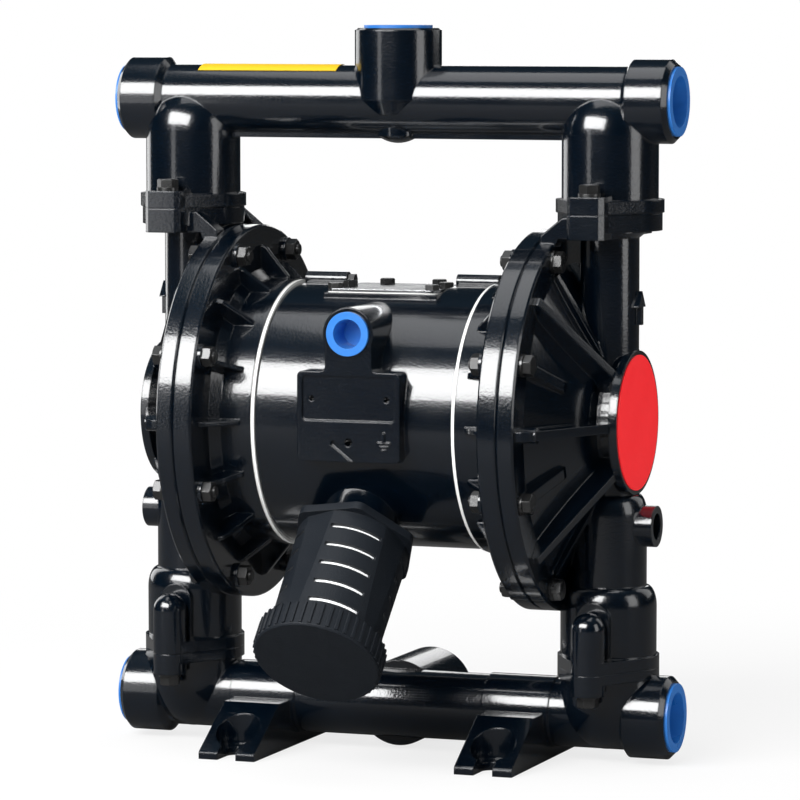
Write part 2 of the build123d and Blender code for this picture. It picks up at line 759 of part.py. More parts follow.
# ================================================================ air covers
with BuildPart() as air_cover:
    with BuildSketch(section(shaft_z)):
        with BuildLine():
            Polyline(
                (hub_face_x, 24), (hub_face_x, hub_bore_r), (gasket_x, hub_bore_r), (gasket_x, hub_r),
                (web_back_x - 1.5, hub_r), (web_back_x + 0.5, 28), (web_back_x + 3, 45),
                (web_back_x + 7.5, hub_ring_bore_r), (gasket_x, hub_ring_bore_r), (gasket_x, hub_ring_r),
                (air_back_x - 5, hub_ring_r), (air_back_x, hub_ring_r + 5),
                (air_back_x, disc_r - edge_break), (air_back_x + edge_break, disc_r),
                (seam_x - edge_break, disc_r),
                (seam_x, disc_r - edge_break), (seam_x, chamber_r + 3), (seam_x - 3, chamber_r),
            )
            ThreePointArc((seam_x - 3, chamber_r), (hub_face_x + 7, 52), (hub_face_x, 24))
        make_face()
    revolve(axis=shaft_axis)
    for k in range(air_rib_count):
        with_bolt = k % 2 == 1
        rib_top = bead_outer_r if with_bolt else bolt_circle_r - 2
        rib(360.0 * k / air_rib_count, air_rib_t, [
            (gasket_x + 6, hub_ring_r - 1), (gasket_x + 6, hub_ring_r + 1),
            (air_back_x - 3, rib_top - 2), (air_back_x + 1, rib_top - 0.5),
            (air_back_x + 1, hub_ring_r - 1),
        ])
    rods(facing(1, air_back_x - nut_boss_t, shaft_z), cover_bolt_places, nut_boss_r, nut_boss_t)
    rods(
        facing(1, air_back_x - nut_boss_t, shaft_z), cover_bolt_places, m6_r + screw_room,
        nut_boss_t + air_flange_t, Mode.SUBTRACT,
    )
    diaphragm_seat(seam_x - bead_half_t, seam_x - diaphragm_half_t)
    rods(facing(1, gasket_x, shaft_z), [(0, pilot_rise)], pilot_r + slip, hub_face_x, Mode.SUBTRACT)

# ================================================================ diaphragm and its clamp plates
with BuildPart() as diaphragm:
    near = seam_x - diaphragm_half_t
    far = seam_x + diaphragm_half_t
    roll_in = clamp_plate_r + 3
    roll_out = chamber_r - 6
    roll_mid = (roll_in + roll_out) / 2
    with BuildSketch(section(shaft_z)):
        with BuildLine():
            Polyline(
                (near, roll_in), (near, stud_r + slip), (far, stud_r + slip), (far, roll_in),
            )
            ThreePointArc((far, roll_in), (far + convolution, roll_mid), (far, roll_out))
            Polyline(
                (far, roll_out), (far, bead_inner_r), (seam_x + bead_half_t, bead_inner_r),
                (seam_x + bead_half_t, bead_outer_r), (seam_x - bead_half_t, bead_outer_r),
                (seam_x - bead_half_t, bead_inner_r), (near, bead_inner_r), (near, roll_out),
            )
            ThreePointArc((near, roll_out), (near + convolution, roll_mid), (near, roll_in))
        make_face()
    revolve(axis=shaft_axis)



def clamp_plate(builder, x):
    """Plate with rounded rims, clamped on one face of the diaphragm."""
    rings(facing(1, x, shaft_z), [(0, 0)], clamp_plate_r, stud_r + slip, clamp_plate_t)
    rims = builder.edges().filter_by(GeomType.CIRCLE).sort_by(SortBy.RADIUS)[-2:]
    fillet(rims, clamp_plate_round)


with BuildPart() as inner_plate:
    clamp_plate(inner_plate, inner_plate_back_x)

with BuildPart() as outer_plate:
    clamp_plate(outer_plate, seam_x + diaphragm_half_t)

nut_base_x = seam_x + diaphragm_half_t + clamp_plate_t
with BuildPart() as stud_nut:
    hexes(facing(1, nut_base_x, shaft_z), [(0, 0)], stud_nut_af, stud_nut_t)
    rods(facing(1, nut_base_x, shaft_z), [(0, 0)], stud_r + slip, stud_nut_t, Mode.SUBTRACT)

# ================================================================ bush, seal and pilot pin of one side
with BuildPart() as shaft_bush:
    bush_length = hub_length - shaft_seal_t - bush_room
    rings(facing(1, gasket_x, shaft_z), [(0, 0)], hub_bore_r, shaft_r + slip, bush_length)

with BuildPart() as shaft_seal:
    seal_x = hub_face_x - shaft_seal_t
    rings(facing(1, seal_x, shaft_z), [(0, 0)], hub_bore_r, shaft_r + slip, shaft_seal_t)

with BuildPart() as pilot_pin:
    collar_x = web_back_x - soft_gap - pilot_collar_t
    pin_place = [(0, pilot_rise)]
    tail_x = collar_x - pilot_tail
    rods(facing(1, tail_x, shaft_z), pin_place, pilot_r, pilot_tip_x - tail_x)
    rods(facing(1, collar_x, shaft_z), pin_place, pilot_collar_r, pilot_collar_t)

# ================================================================ housing gasket, end label
with BuildPart() as housing_gasket:
    gasket_r = housing_r + gasket_proud
    rings(facing(1, housing_half, shaft_z), [(0, 0)], gasket_r, hub_ring_bore_r, gasket_t)

with BuildPart() as end_label:
    rods(facing(1, plate_face_x, shaft_z), [(0, 0)], label_r, label_t)

# ---------------------------------------------------------------- both sides
# These pieces are the same front to back, so the left one is the right one turned half round.
pairs = {
    "fluid_cover": fluid_cover, "air_cover": air_cover, "diaphragm": diaphragm,
    "inner_plate": inner_plate, "outer_plate": outer_plate, "stud_nut": stud_nut,
    "shaft_bush": shaft_bush, "shaft_seal": shaft_seal, "pilot_pin": pilot_pin,
    "housing_gasket": housing_gasket, "end_label": end_label,
}
for name, right in pairs.items():
    save(right, f"{name}_right")
    with BuildPart() as left:
        add(right.part, rotation=(0, 0, 180))
    save(left, f"{name}_left")

# ================================================================ check valves
for name, lip_z in (("inlet", inlet_joint_z), ("outlet", outlet_joint_z)):
    for hand, side in sides.items():
        with BuildPart() as seat:
            turned(riser_section(side), riser_axis(side), [
                (seat_bore_r, lip_z - seat_t), (seat_r, lip_z - seat_t), (seat_r, lip_z),
                (seat_lip_r, lip_z), (seat_bore_r, lip_z - seat_lip_depth),
            ])
        save(seat, f"{name}_seat_{hand}")
        with BuildPart() as ball:
            with Locations((side * riser_x, 0, lip_z + ball_rest)):
                Sphere(ball_r)
        save(ball, f"{name}_ball_{hand}")
    with BuildPart() as seals:
        for side in sides.values():
            with BuildSketch(riser_section(side)) as round_section:
                with Locations((seal_mid_r, lip_z + seal_r)):
                    Circle(seal_r)
            revolve(round_section.sketch, axis=riser_axis(side))
    save(seals, f"{name}_seat_seals")

# ================================================================ centre housing
with BuildPart() as center_housing:
    with BuildSketch(facing(1, -housing_half, shaft_z)):
        Circle(housing_r)
        Circle(housing_bore_r, mode=Mode.SUBTRACT)
        Circle(housing_hub_r)
        Rectangle(2 * housing_bore_r + 1, housing_web_t)
        Rectangle(housing_web_t, 2 * housing_bore_r + 1)
    extrude(amount=2 * housing_half)
    # pedestal and air chest
    chest_z = pedestal_z - valve_pocket_depth - chest_floor_t
    with BuildSketch(Plane.XY.offset(chest_z)):
        Rectangle(2 * pedestal_half_x, 2 * pedestal_half_y)
    extrude(amount=pedestal_z - chest_z)
    with BuildSketch(Plane.XY.offset(pedestal_z)):
        Rectangle(2 * pedestal_half_x, 2 * housing_r)
    extrude(amount=housing_r, mode=Mode.SUBTRACT)
    # name pad, neck and air port in one flat face
    with BuildSketch(Plane.XZ):
        with Locations((0, shaft_z + pad_rise)):
            Rectangle(pad_width, pad_height)
        neck_low = shaft_z + pad_rise + pad_height / 2
        with Locations((0, (neck_low + air_port_z) / 2)):
            Rectangle(air_port_neck, air_port_z - neck_low)
        with Locations((0, air_port_z)):
            Circle(air_port_r)
        corners = vertices().group_by(Axis.Y)
        fillet(corners[0] + corners[1], pad_corner_r)
    extrude(amount=pad_y)
    # galleries along the top
    for side in sides.values():
        rods(
            facing(side, gallery_start_x, gallery_z), [(gallery_y, 0)], gallery_r,
            housing_half - gallery_start_x,
        )
    # exhaust boss
    rods(exhaust(housing_bore_r), [(0, 0)], exhaust_boss_r, exhaust_reach - housing_bore_r)
    # the pad and the ports run through the hollow, so it is opened again around the hub and the webs
    with BuildSketch(facing(1, -housing_half, shaft_z)):
        Circle(housing_bore_r)
        Circle(housing_hub_r, mode=Mode.SUBTRACT)
        Rectangle(2 * housing_bore_r + 1, housing_web_t, mode=Mode.SUBTRACT)
        Rectangle(housing_web_t, 2 * housing_bore_r + 1, mode=Mode.SUBTRACT)
        with Locations((0, housing_bore_r)):
            Rectangle(2 * pedestal_half_y, 2 * (shaft_z + housing_bore_r - chest_z), mode=Mode.SUBTRACT)
        with Locations((-housing_bore_r, air_port_rise)):
            Rectangle(2 * housing_bore_r, 2 * air_port_r, mode=Mode.SUBTRACT)
    extrude(amount=2 * housing_half, mode=Mode.SUBTRACT)
    # valve pocket, air passage, shaft bore, exhaust bore
    with BuildSketch(Plane.XY.offset(pedestal_z - valve_pocket_depth)):
        RectangleRounded(*valve_pocket, valve_cover_corner_r)
    extrude(amount=valve_pocket_depth, mode=Mode.SUBTRACT)
    rods(Plane.XY.offset(pedestal_z - m4_grip), valve_screws, m4_r + slip, m4_grip, Mode.SUBTRACT)
    air_face = Plane.XZ.offset(pad_y)
    rods(air_face, [(0, air_port_z)], air_bore_r, -air_port_depth, Mode.SUBTRACT)
    rods(air_face, [(0, air_port_z)], air_passage_r, valve_pocket[1] / 2 - pad_y, Mode.SUBTRACT)
    rods(facing(1, -housing_half, shaft_z), [(0, 0)], shaft_r + 1, 2 * housing_half, Mode.SUBTRACT)
    rods(exhaust(housing_web_t), [(0, 0)], nipple_r, exhaust_reach - housing_web_t, Mode.SUBTRACT)
    rods(
        facing(-1, gallery_start_x, gallery_z), [(gallery_y, 0)], m3_r + slip, m4_grip, Mode.SUBTRACT,
    )
    # recess of the name plate, its rivet holes, the earth screw's hole and its notch
    with BuildSketch(air_face):
        with Locations((0, shaft_z + plate_rise)):
            RectangleRounded(*plate_recess, pad_corner_r - 0.5)
    extrude(amount=-plate_recess_depth, mode=Mode.SUBTRACT)
    rods(
        air_face, [(-rivet_x, shaft_z + plate_rise), (rivet_x, shaft_z + plate_rise)], rivet_r,
        -4 * rivet_r, Mode.SUBTRACT,
    )
    rods(air_face, [(0, shaft_z - earth_drop)], earth_hole_r, -earth_hole_depth, Mode.SUBTRACT)
    with BuildSketch(air_face):
        with Locations((-3.0, shaft_z - earth_drop - 5)):
            SlotOverall(17, 2.6, rotation=-38)
    extrude(amount=-1.6, mode=Mode.SUBTRACT)
    # raised earth mark: a stem over three bars
    with BuildSketch(air_face):
        with Locations((earth_mark_x, shaft_z - earth_drop + 3)):
            Rectangle(1.2, 5.0)
        for row, width in enumerate((7.6, 5.0, 2.8)):
            with Locations((earth_mark_x, shaft_z - earth_drop - 1.8 * row)):
                Rectangle(width, 1.0)
    extrude(amount=0.6)
save(center_housing, "center_housing")

with BuildPart() as gallery_plug:
    hexes(facing(1, -gallery_start_x, gallery_z), [(gallery_y, 0)], m3_af, m3_head_t)
    rods(facing(-1, gallery_start_x, gallery_z), [(gallery_y, 0)], m3_r, m4_grip - 1)
save(gallery_plug, "gallery_plug")

# ================================================================ air valve
with BuildPart() as valve_gasket:
    with BuildSketch(Plane.XY.offset(pedestal_z)):
        RectangleRounded(*valve_cover_size, valve_cover_corner_r)
        RectangleRounded(*valve_pocket, valve_cover_corner_r, mode=Mode.SUBTRACT)
        with Locations(*valve_screws):
            Circle(m4_r + screw_room, mode=Mode.SUBTRACT)
    extrude(amount=valve_gasket_t)
save(valve_gasket, "valve_gasket")

valve_cover_z = pedestal_z + valve_gasket_t
with BuildPart() as valve_cover:
    with BuildSketch(Plane.XY.offset(valve_cover_z)):
        RectangleRounded(*valve_cover_size, valve_cover_corner_r)
        with Locations(*valve_screws):
            Circle(m4_r + screw_room, mode=Mode.SUBTRACT)
    extrude(amount=valve_cover_t)
save(valve_cover, "valve_cover")

with BuildPart() as valve_cover_screws:
    screw_seat = Plane.XY.offset(valve_cover_z + valve_cover_t)
    hexes(screw_seat, valve_screws, m4_af, m4_head_t)
    rods(screw_seat, valve_screws, m4_r, -m4_grip)
save(valve_cover_screws, "valve_cover_screws")

spool_z = pedestal_z - spool_drop
with BuildPart() as valve_body:
    with BuildSketch(Plane.XY.offset(pedestal_z - valve_pocket_depth)):
        RectangleRounded(
            valve_pocket[0] - 2 * valve_body_gap, valve_pocket[1] - 2 * valve_body_gap,
            valve_cover_corner_r,
        )
    extrude(amount=valve_pocket_depth - valve_body_gap)
    pocket_x = valve_pocket[0] / 2
    rods(facing(1, -pocket_x, spool_z), [(0, 0)], spool_r + slip, 2 * pocket_x, Mode.SUBTRACT)
save(valve_body, "valve_body")

with BuildPart() as valve_spool:
    rods(facing(1, -spool_length / 2, spool_z), [(0, 0)], spool_groove_r, spool_length)
    land_pitch = (spool_length - spool_land) / 2
    for k in (-1, 0, 1):
        rods(facing(1, k * land_pitch - spool_land / 2, spool_z), [(0, 0)], spool_r, spool_land)
save(valve_spool, "valve_spool")

# ================================================================ diaphragm shaft
with BuildPart() as diaphragm_shaft:
    rods(facing(1, -inner_plate_back_x, shaft_z), [(0, 0)], shaft_r, 2 * inner_plate_back_x)
    stud_end_x = nut_base_x + stud_nut_t + stud_tip
    rods(facing(1, -stud_end_x, shaft_z), [(0, 0)], stud_r, 2 * stud_end_x)
save(diaphragm_shaft, "diaphragm_shaft")

# ================================================================ muffler
body_start = exhaust_reach + hex_flange_t
with BuildPart() as muffler_body:
    with BuildSketch(exhaust(exhaust_reach)):
        RegularPolygon(hex_flange_r, 6, rotation=hex_flange_turn)
        fillet(vertices(), hex_corner_r)
    extrude(amount=hex_flange_t)
    with BuildSketch(exhaust(body_start)):
        Circle(muffler_top_r)
    with BuildSketch(exhaust(body_start + muffler_length)):
        Circle(muffler_end_r)
    loft()
    # four flats between the slotted panels
    with BuildSketch(exhaust(body_start)):
        with PolarLocations(muffler_end_r, panel_count, panel_turn - 180.0 / panel_count):
            with Locations((muffler_end_r / 2, 0)):
                Rectangle(muffler_end_r, 2 * muffler_end_r)
    extrude(amount=muffler_length - end_cap_lap, mode=Mode.SUBTRACT)
    with BuildSketch(exhaust(body_start)):
        Circle(muffler_top_r - muffler_wall - flat_depth)
    with BuildSketch(exhaust(body_start + muffler_length)):
        Circle(muffler_end_r - muffler_wall)
    loft(mode=Mode.SUBTRACT)
    rods(exhaust(exhaust_reach), [(0, 0)], nipple_r, hex_flange_t, Mode.SUBTRACT)
    # slots across the panels
    slot_reach = 2 * muffler_top_r
    half_span = radians(panel_span)
    for row in range(slot_rows):
        with BuildSketch(exhaust(body_start + slot_first + row * slot_pitch - slot_t / 2)):
            with PolarLocations(0, panel_count, panel_turn):
                Polygon(
                    (0, 0), (slot_reach * cos(half_span), -slot_reach * sin(half_span)),
                    (slot_reach * cos(half_span), slot_reach * sin(half_span)), align=None,
                )
        extrude(amount=slot_t, mode=Mode.SUBTRACT)
save(muffler_body, "muffler_body")

with BuildPart() as muffler_liner:
    liner_r = muffler_end_r - muffler_wall - liner_gap
    rings(exhaust(body_start), [(0, 0)], liner_r, liner_r - liner_wall, muffler_length - soft_gap)
save(muffler_liner, "muffler_liner")

with BuildPart() as muffler_cap:
    cap_start = body_start + muffler_length - end_cap_lap
    rods(exhaust(cap_start), [(0, 0)], end_cap_r, end_cap_length)
    chamfer(muffler_cap.edges().filter_by(GeomType.CIRCLE).sort_by(Axis.Z)[0], 0.8)
    with BuildSketch(exhaust(cap_start)):
        with PolarLocations(end_cap_r, grip_rib_count):
            Rectangle(2 * grip_rib_proud, grip_rib_t)
    extrude(amount=end_cap_length - 1.5)
    cup_depth = end_cap_length - end_cap_floor
    rods(exhaust(cap_start), [(0, 0)], muffler_end_r + soft_gap, cup_depth, Mode.SUBTRACT)
save(muffler_cap, "muffler_cap")

with BuildPart() as muffler_nipple:
    rings(exhaust(exhaust_reach - nipple_in), [(0, 0)], nipple_r, nipple_bore_r, nipple_in + nipple_out)
save(muffler_nipple, "muffler_nipple")

# ================================================================ transport plugs
plug_faces = {
    "outlet_plug_right": facing(1, port_face_x, outlet_axis_z),
    "outlet_plug_left": facing(-1, port_face_x, outlet_axis_z),
    "outlet_plug_top": Plane.XY.offset(outlet_axis_z + top_port_height),
    "inlet_plug_right": facing(1, port_face_x, inlet_axis_z),
    "inlet_plug_left": facing(-1, port_face_x, inlet_axis_z),
    "inlet_plug_rear": Plane((0, rear_port_reach, inlet_axis_z), x_dir=(1, 0, 0), z_dir=(0, 1, 0)),
    "air_inlet_plug": Plane((0, -pad_y, air_port_z), x_dir=(1, 0, 0), z_dir=(0, -1, 0)),
}
for name, face in plug_faces.items():
    is_air = name == "air_inlet_plug"
    rim_r = air_plug_r if is_air else port_plug_r
    cup_r = (air_bore_r if is_air else port_bore_r) - slip
    depth = air_plug_depth if is_air else plug_depth
    with BuildPart() as plug:
        rods(face, [(0, 0)], rim_r, plug_flange_t)
        with BuildSketch(face):
            Circle(cup_r)
        extrude(amount=-depth, taper=plug_taper)
        with BuildSketch(face.offset(plug_flange_t)):
            Circle(cup_r - plug_wall)
        extrude(amount=plug_wall - depth - plug_flange_t, taper=plug_taper, mode=Mode.SUBTRACT)
    save(plug, name)

# ================================================================ yellow strip on the outlet tube
with BuildPart() as tube_label:
    with BuildSketch(radial(90 - strip_arc / 2, outlet_axis_z)):
        with Locations(((strip_x[0] + strip_x[1]) / 2, tube_r + strip_glue_t + strip_t / 2)):
            Rectangle(strip_x[1] - strip_x[0], strip_t)
    revolve(axis=Axis((0, 0, outlet_axis_z), (1, 0, 0)), revolution_arc=strip_arc)
save(tube_label, "tube_label")

# ================================================================ fasteners
with BuildPart() as cover_bolts:
    for side in sides.values():
        seat_x = flange_face_x + m6_washer_t
        tip_x = air_back_x - nut_boss_t - m6_nut_t - m6_tip
        hexes(facing(side, seat_x, shaft_z), cover_bolt_places, m6_af, m6_head_t)
        rods(facing(side, tip_x, shaft_z), cover_bolt_places, m6_r, seat_x - tip_x)
save(cover_bolts, "cover_bolts")

with BuildPart() as cover_washers:
    for side in sides.values():
        face = facing(side, flange_face_x, shaft_z)
        rings(face, cover_bolt_places, m6_washer_r, m6_r + slip, m6_washer_t)
save(cover_washers, "cover_washers")

with BuildPart() as cover_nuts:
    for side in sides.values():
        nut_plane = facing(side, air_back_x - nut_boss_t - m6_nut_t, shaft_z)
        hexes(nut_plane, cover_bolt_places, m6_af, m6_nut_t)
        rods(nut_plane, cover_bolt_places, m6_r + slip, m6_nut_t, Mode.SUBTRACT)
save(cover_nuts, "cover_nuts")

outlet_ear_top = outlet_joint_z + outlet_ear_t
inlet_ear_low = inlet_joint_z - inlet_ear_t
with BuildPart() as outlet_joint_bolts:
    for side in sides.values():
        hexes(Plane.XY.offset(outlet_ear_top + m6_washer_t), ears(side), m6_af, m6_head_t)
        shank = m6_washer_t + outlet_ear_t + joint_thread - m6_tip
        rods(Plane.XY.offset(outlet_ear_top + m6_washer_t), ears(side), m6_r, -shank)
save(outlet_joint_bolts, "outlet_joint_bolts")

with BuildPart() as inlet_joint_bolts:
    for side in sides.values():
        hexes(Plane.XY.offset(inlet_ear_low - m6_washer_t), ears(side), m6_af, -m6_head_t)
        shank = m6_washer_t + inlet_ear_t + joint_thread - m6_tip
        rods(Plane.XY.offset(inlet_ear_low - m6_washer_t), ears(side), m6_r, shank)
save(inlet_joint_bolts, "inlet_joint_bolts")

with BuildPart() as joint_washers:
    for side in sides.values():
        rings(Plane.XY.offset(outlet_ear_top), ears(side), m6_washer_r, m6_r + slip, m6_washer_t)
        rings(Plane.XY.offset(inlet_ear_low), ears(side), m6_washer_r, m6_r + slip, -m6_washer_t)
save(joint_washers, "joint_washers")
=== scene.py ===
# %% [markdown]
# # Air operated diaphragm pump
# The pump is two round pumping chambers, one at each end of a drum that holds the air valve. Two upright
# columns join the chambers to an inlet tube with feet below and an outlet tube above. All of it is cast
# aluminium under a gloss black powder coat, so the finish of that coat and the lamps decide how it looks.
# The castings come from the CAD model as they are. This script gives them their finish, and makes the
# screws and nuts again with the bevels and threads that a drawing leaves out.

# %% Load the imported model
import json
from math import cos, pi, radians, sin

import bmesh
import bpy
from mathutils import Matrix, Vector


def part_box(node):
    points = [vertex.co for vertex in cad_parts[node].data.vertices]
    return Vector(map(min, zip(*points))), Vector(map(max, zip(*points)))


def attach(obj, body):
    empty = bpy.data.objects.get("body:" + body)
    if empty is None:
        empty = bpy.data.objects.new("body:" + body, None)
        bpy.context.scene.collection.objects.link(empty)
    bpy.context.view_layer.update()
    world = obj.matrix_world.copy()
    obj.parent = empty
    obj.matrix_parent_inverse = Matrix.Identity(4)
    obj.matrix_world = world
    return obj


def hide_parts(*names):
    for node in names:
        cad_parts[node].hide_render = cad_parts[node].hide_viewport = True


MM = 0.001
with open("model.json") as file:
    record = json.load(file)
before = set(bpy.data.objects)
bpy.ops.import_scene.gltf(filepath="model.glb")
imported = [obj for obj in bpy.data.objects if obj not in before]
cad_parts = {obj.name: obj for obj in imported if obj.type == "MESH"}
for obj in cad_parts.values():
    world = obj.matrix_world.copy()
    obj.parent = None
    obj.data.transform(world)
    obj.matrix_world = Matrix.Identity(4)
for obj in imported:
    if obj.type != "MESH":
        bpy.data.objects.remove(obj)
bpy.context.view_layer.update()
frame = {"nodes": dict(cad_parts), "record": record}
record = frame["record"]
scene = bpy.context.scene

# %% [markdown]
# ## Camera and studio
# The pump stands on white and is seen from the front, a little from the right, with a long lens that keeps
# its uprights parallel. Gloss black shows almost nothing of its own colour: what the eye reads is the shape
# of the lamps in it. So the studio is a dark surround with large soft panels, and the white behind the pump
# is only for the camera.

# %% Camera
CAMERA_PLACE = Vector((0.8459, -2.3163, 0.4049))
CAMERA_TARGET = Vector((0.0008, 0.0003, 0.1900))
LENS_MM = 206.2
SENSOR_MM = 36.0


def look_from(place, target):
    """Matrix of an object that stands at a place and points its -Z axis at a target."""
    turn = (target - place).to_track_quat("-Z", "Y").to_matrix().to_4x4()
    return Matrix.Translation(place) @ turn


camera = bpy.data.objects.new("camera", bpy.data.cameras.new("camera"))
camera.data.lens = LENS_MM
camera.data.sensor_width = SENSOR_MM
camera.data.clip_end = 50
camera.matrix_world = look_from(CAMERA_PLACE, CAMERA_TARGET)
scene.collection.objects.link(camera)
scene.camera = camera
scene.view_settings.view_transform = "Standard"


# %% Soft panels
PUMP_MIDDLE = Vector((0, 0, 0.2))


def panel(name, azimuth, elevation, distance, width, height, watts, aim=PUMP_MIDDLE):
    """Soft lamp panel. Azimuth 0 is in front of the pump, and grows towards its right."""
    side, rise = radians(azimuth), radians(elevation)
    way = Vector((sin(side) * cos(rise), -cos(side) * cos(rise), sin(rise)))
    lamp = bpy.data.lights.new(name, "AREA")
    lamp.shape = "RECTANGLE"
    lamp.size = width
    lamp.size_y = height
    lamp.energy = watts
    holder = bpy.data.objects.new(name, lamp)
    holder.matrix_world = look_from(aim + way * distance, aim)
    scene.collection.objects.link(holder)
    return holder


panel("key_panel", -20, 30, 1.5, 1.4, 0.7, 34)
panel("left_strip", -31, -4, 1.6, 0.28, 1.2, 1.3)
panel("right_soft", 80, 14, 1.5, 0.6, 0.9, 3)
panel("top_panel", 10, 88, 1.5, 1.3, 1.0, 5)
panel("back_left_rim", -118, 20, 1.6, 0.7, 1.4, 5)
panel("back_right_rim", 140, 25, 1.7, 0.9, 1.2, 2.5)
panel("back_low", -162, 14, 1.7, 1.0, 0.35, 1.8)

# %% Surround: white for the camera, a dark room in the gloss, even light on matt surfaces
ROOM_STOPS = [(0.0, 0.05), (0.42, 0.03), (0.50, 0.012), (0.62, 0.012), (0.85, 0.04), (1.0, 0.10)]
ROOM_TINT = (0.55, 0.85, 1.15)
EVEN_LIGHT = 0.42


def tinted(grey):
    """Colour of the dark room at this grey."""
    return (*[grey * share for share in ROOM_TINT], 1)


world = bpy.data.worlds.new("studio")
scene.world = world
world.use_nodes = True
tree = world.node_tree
tree.nodes.clear()
out = tree.nodes.new("ShaderNodeOutputWorld")
seen = tree.nodes.new("ShaderNodeBackground")
room = tree.nodes.new("ShaderNodeBackground")
even = tree.nodes.new("ShaderNodeBackground")
unseen = tree.nodes.new("ShaderNodeMixShader")
choose = tree.nodes.new("ShaderNodeMixShader")
path = tree.nodes.new("ShaderNodeLightPath")
ray = tree.nodes.new("ShaderNodeTexCoord")
split = tree.nodes.new("ShaderNodeSeparateXYZ")
half = tree.nodes.new("ShaderNodeMath")
ramp = tree.nodes.new("ShaderNodeValToRGB")
seen.inputs["Color"].default_value = (1, 1, 1, 1)
even.inputs["Color"].default_value = (EVEN_LIGHT, EVEN_LIGHT, EVEN_LIGHT, 1)
half.operation = "MULTIPLY_ADD"
half.inputs[1].default_value = 0.5
half.inputs[2].default_value = 0.5
ramp.color_ramp.elements[0].position = ROOM_STOPS[0][0]
ramp.color_ramp.elements[0].color = tinted(ROOM_STOPS[0][1])
ramp.color_ramp.elements[1].position = ROOM_STOPS[-1][0]
ramp.color_ramp.elements[1].color = tinted(ROOM_STOPS[-1][1])
for place, grey in ROOM_STOPS[1:-1]:
    ramp.color_ramp.elements.new(place).color = tinted(grey)
link = tree.links.new
link(ray.outputs["Generated"], split.inputs[0])
link(split.outputs["Z"], half.inputs[0])
link(half.outputs[0], ramp.inputs["Fac"])
link(ramp.outputs["Color"], room.inputs["Color"])
link(path.outputs["Is Diffuse Ray"], unseen.inputs["Fac"])
link(room.outputs[0], unseen.inputs[1])
link(even.outputs[0], unseen.inputs[2])
link(path.outputs["Is Camera Ray"], choose.inputs["Fac"])
link(unseen.outputs[0], choose.inputs[1])
link(seen.outputs[0], choose.inputs[2])
link(choose.outputs[0], out.inputs["Surface"])

# %% [markdown]
# ## Shader groups
# Every real surface is a little uneven, and two effects come back in many finishes here. One is the soft
# ripple that a sprayed or moulded skin has. The other is the fine blotchiness of its gloss. Each is a node
# group, built once and given its own sizes in each material.

# %% Groups: rippled skin and blotched gloss


def new_group(name, inputs, outputs):
    """Empty shader group with float inputs (name, value) and outputs (name, socket type)."""
    group = bpy.data.node_groups.new(name, "ShaderNodeTree")
    for label, value in inputs:
        socket = group.interface.new_socket(label, in_out="INPUT", socket_type="NodeSocketFloat")
        socket.default_value = value
    for label, kind in outputs:
        group.interface.new_socket(label, in_out="OUTPUT", socket_type=kind)
    return group, group.nodes.new("NodeGroupInput"), group.nodes.new("NodeGroupOutput")


def ripple_group():
    """Height of a skin with a fine ripple over a slow waviness."""
    group, given, result = new_group(
        "rippled_skin", [("Fine Scale", 600.0), ("Slow Scale", 60.0), ("Slow Share", 0.5)],
        [("Height", "NodeSocketFloat")],
    )
    place = group.nodes.new("ShaderNodeTexCoord")
    fine = group.nodes.new("ShaderNodeTexNoise")
    slow = group.nodes.new("ShaderNodeTexNoise")
    mix = group.nodes.new("ShaderNodeMix")
    fine.inputs["Detail"].default_value = 1.0
    slow.inputs["Detail"].default_value = 2.0
    join = group.links.new
    join(place.outputs["Object"], fine.inputs["Vector"])
    join(place.outputs["Object"], slow.inputs["Vector"])
    join(given.outputs["Fine Scale"], fine.inputs["Scale"])
    join(given.outputs["Slow Scale"], slow.inputs["Scale"])
    join(given.outputs["Slow Share"], mix.inputs["Factor"])
    join(fine.outputs["Fac"], mix.inputs["A"])
    join(slow.outputs["Fac"], mix.inputs["B"])
    join(mix.outputs["Result"], result.inputs["Height"])
    return group


def blotch_group():
    """Roughness that wanders between two values."""
    group, given, result = new_group(
        "blotched_gloss", [("Scale", 40.0), ("Low", 0.2), ("High", 0.3)],
        [("Roughness", "NodeSocketFloat")],
    )
    place = group.nodes.new("ShaderNodeTexCoord")
    noise = group.nodes.new("ShaderNodeTexNoise")
    spread = group.nodes.new("ShaderNodeMapRange")
    noise.inputs["Detail"].default_value = 4.0
    spread.inputs["From Min"].default_value = 0.3
    spread.inputs["From Max"].default_value = 0.7
    join = group.links.new
    join(place.outputs["Object"], noise.inputs["Vector"])
    join(given.outputs["Scale"], noise.inputs["Scale"])
    join(given.outputs["Low"], spread.inputs["To Min"])
    join(given.outputs["High"], spread.inputs["To Max"])
    join(noise.outputs["Fac"], spread.inputs["Value"])
    join(spread.outputs["Result"], result.inputs["Roughness"])
    return group


RIPPLE = ripple_group()
BLOTCH = blotch_group()
print("groups", RIPPLE.name, BLOTCH.name)

# %% [markdown]
# ## Finishes
# One function makes a material from its colour, its span of roughness and its skin. Cast and moulded
# edges are never knife sharp, so the normal is also rounded over a small radius, which gives each edge the
# thin line of light that it has on the real pump.

# %% Material maker


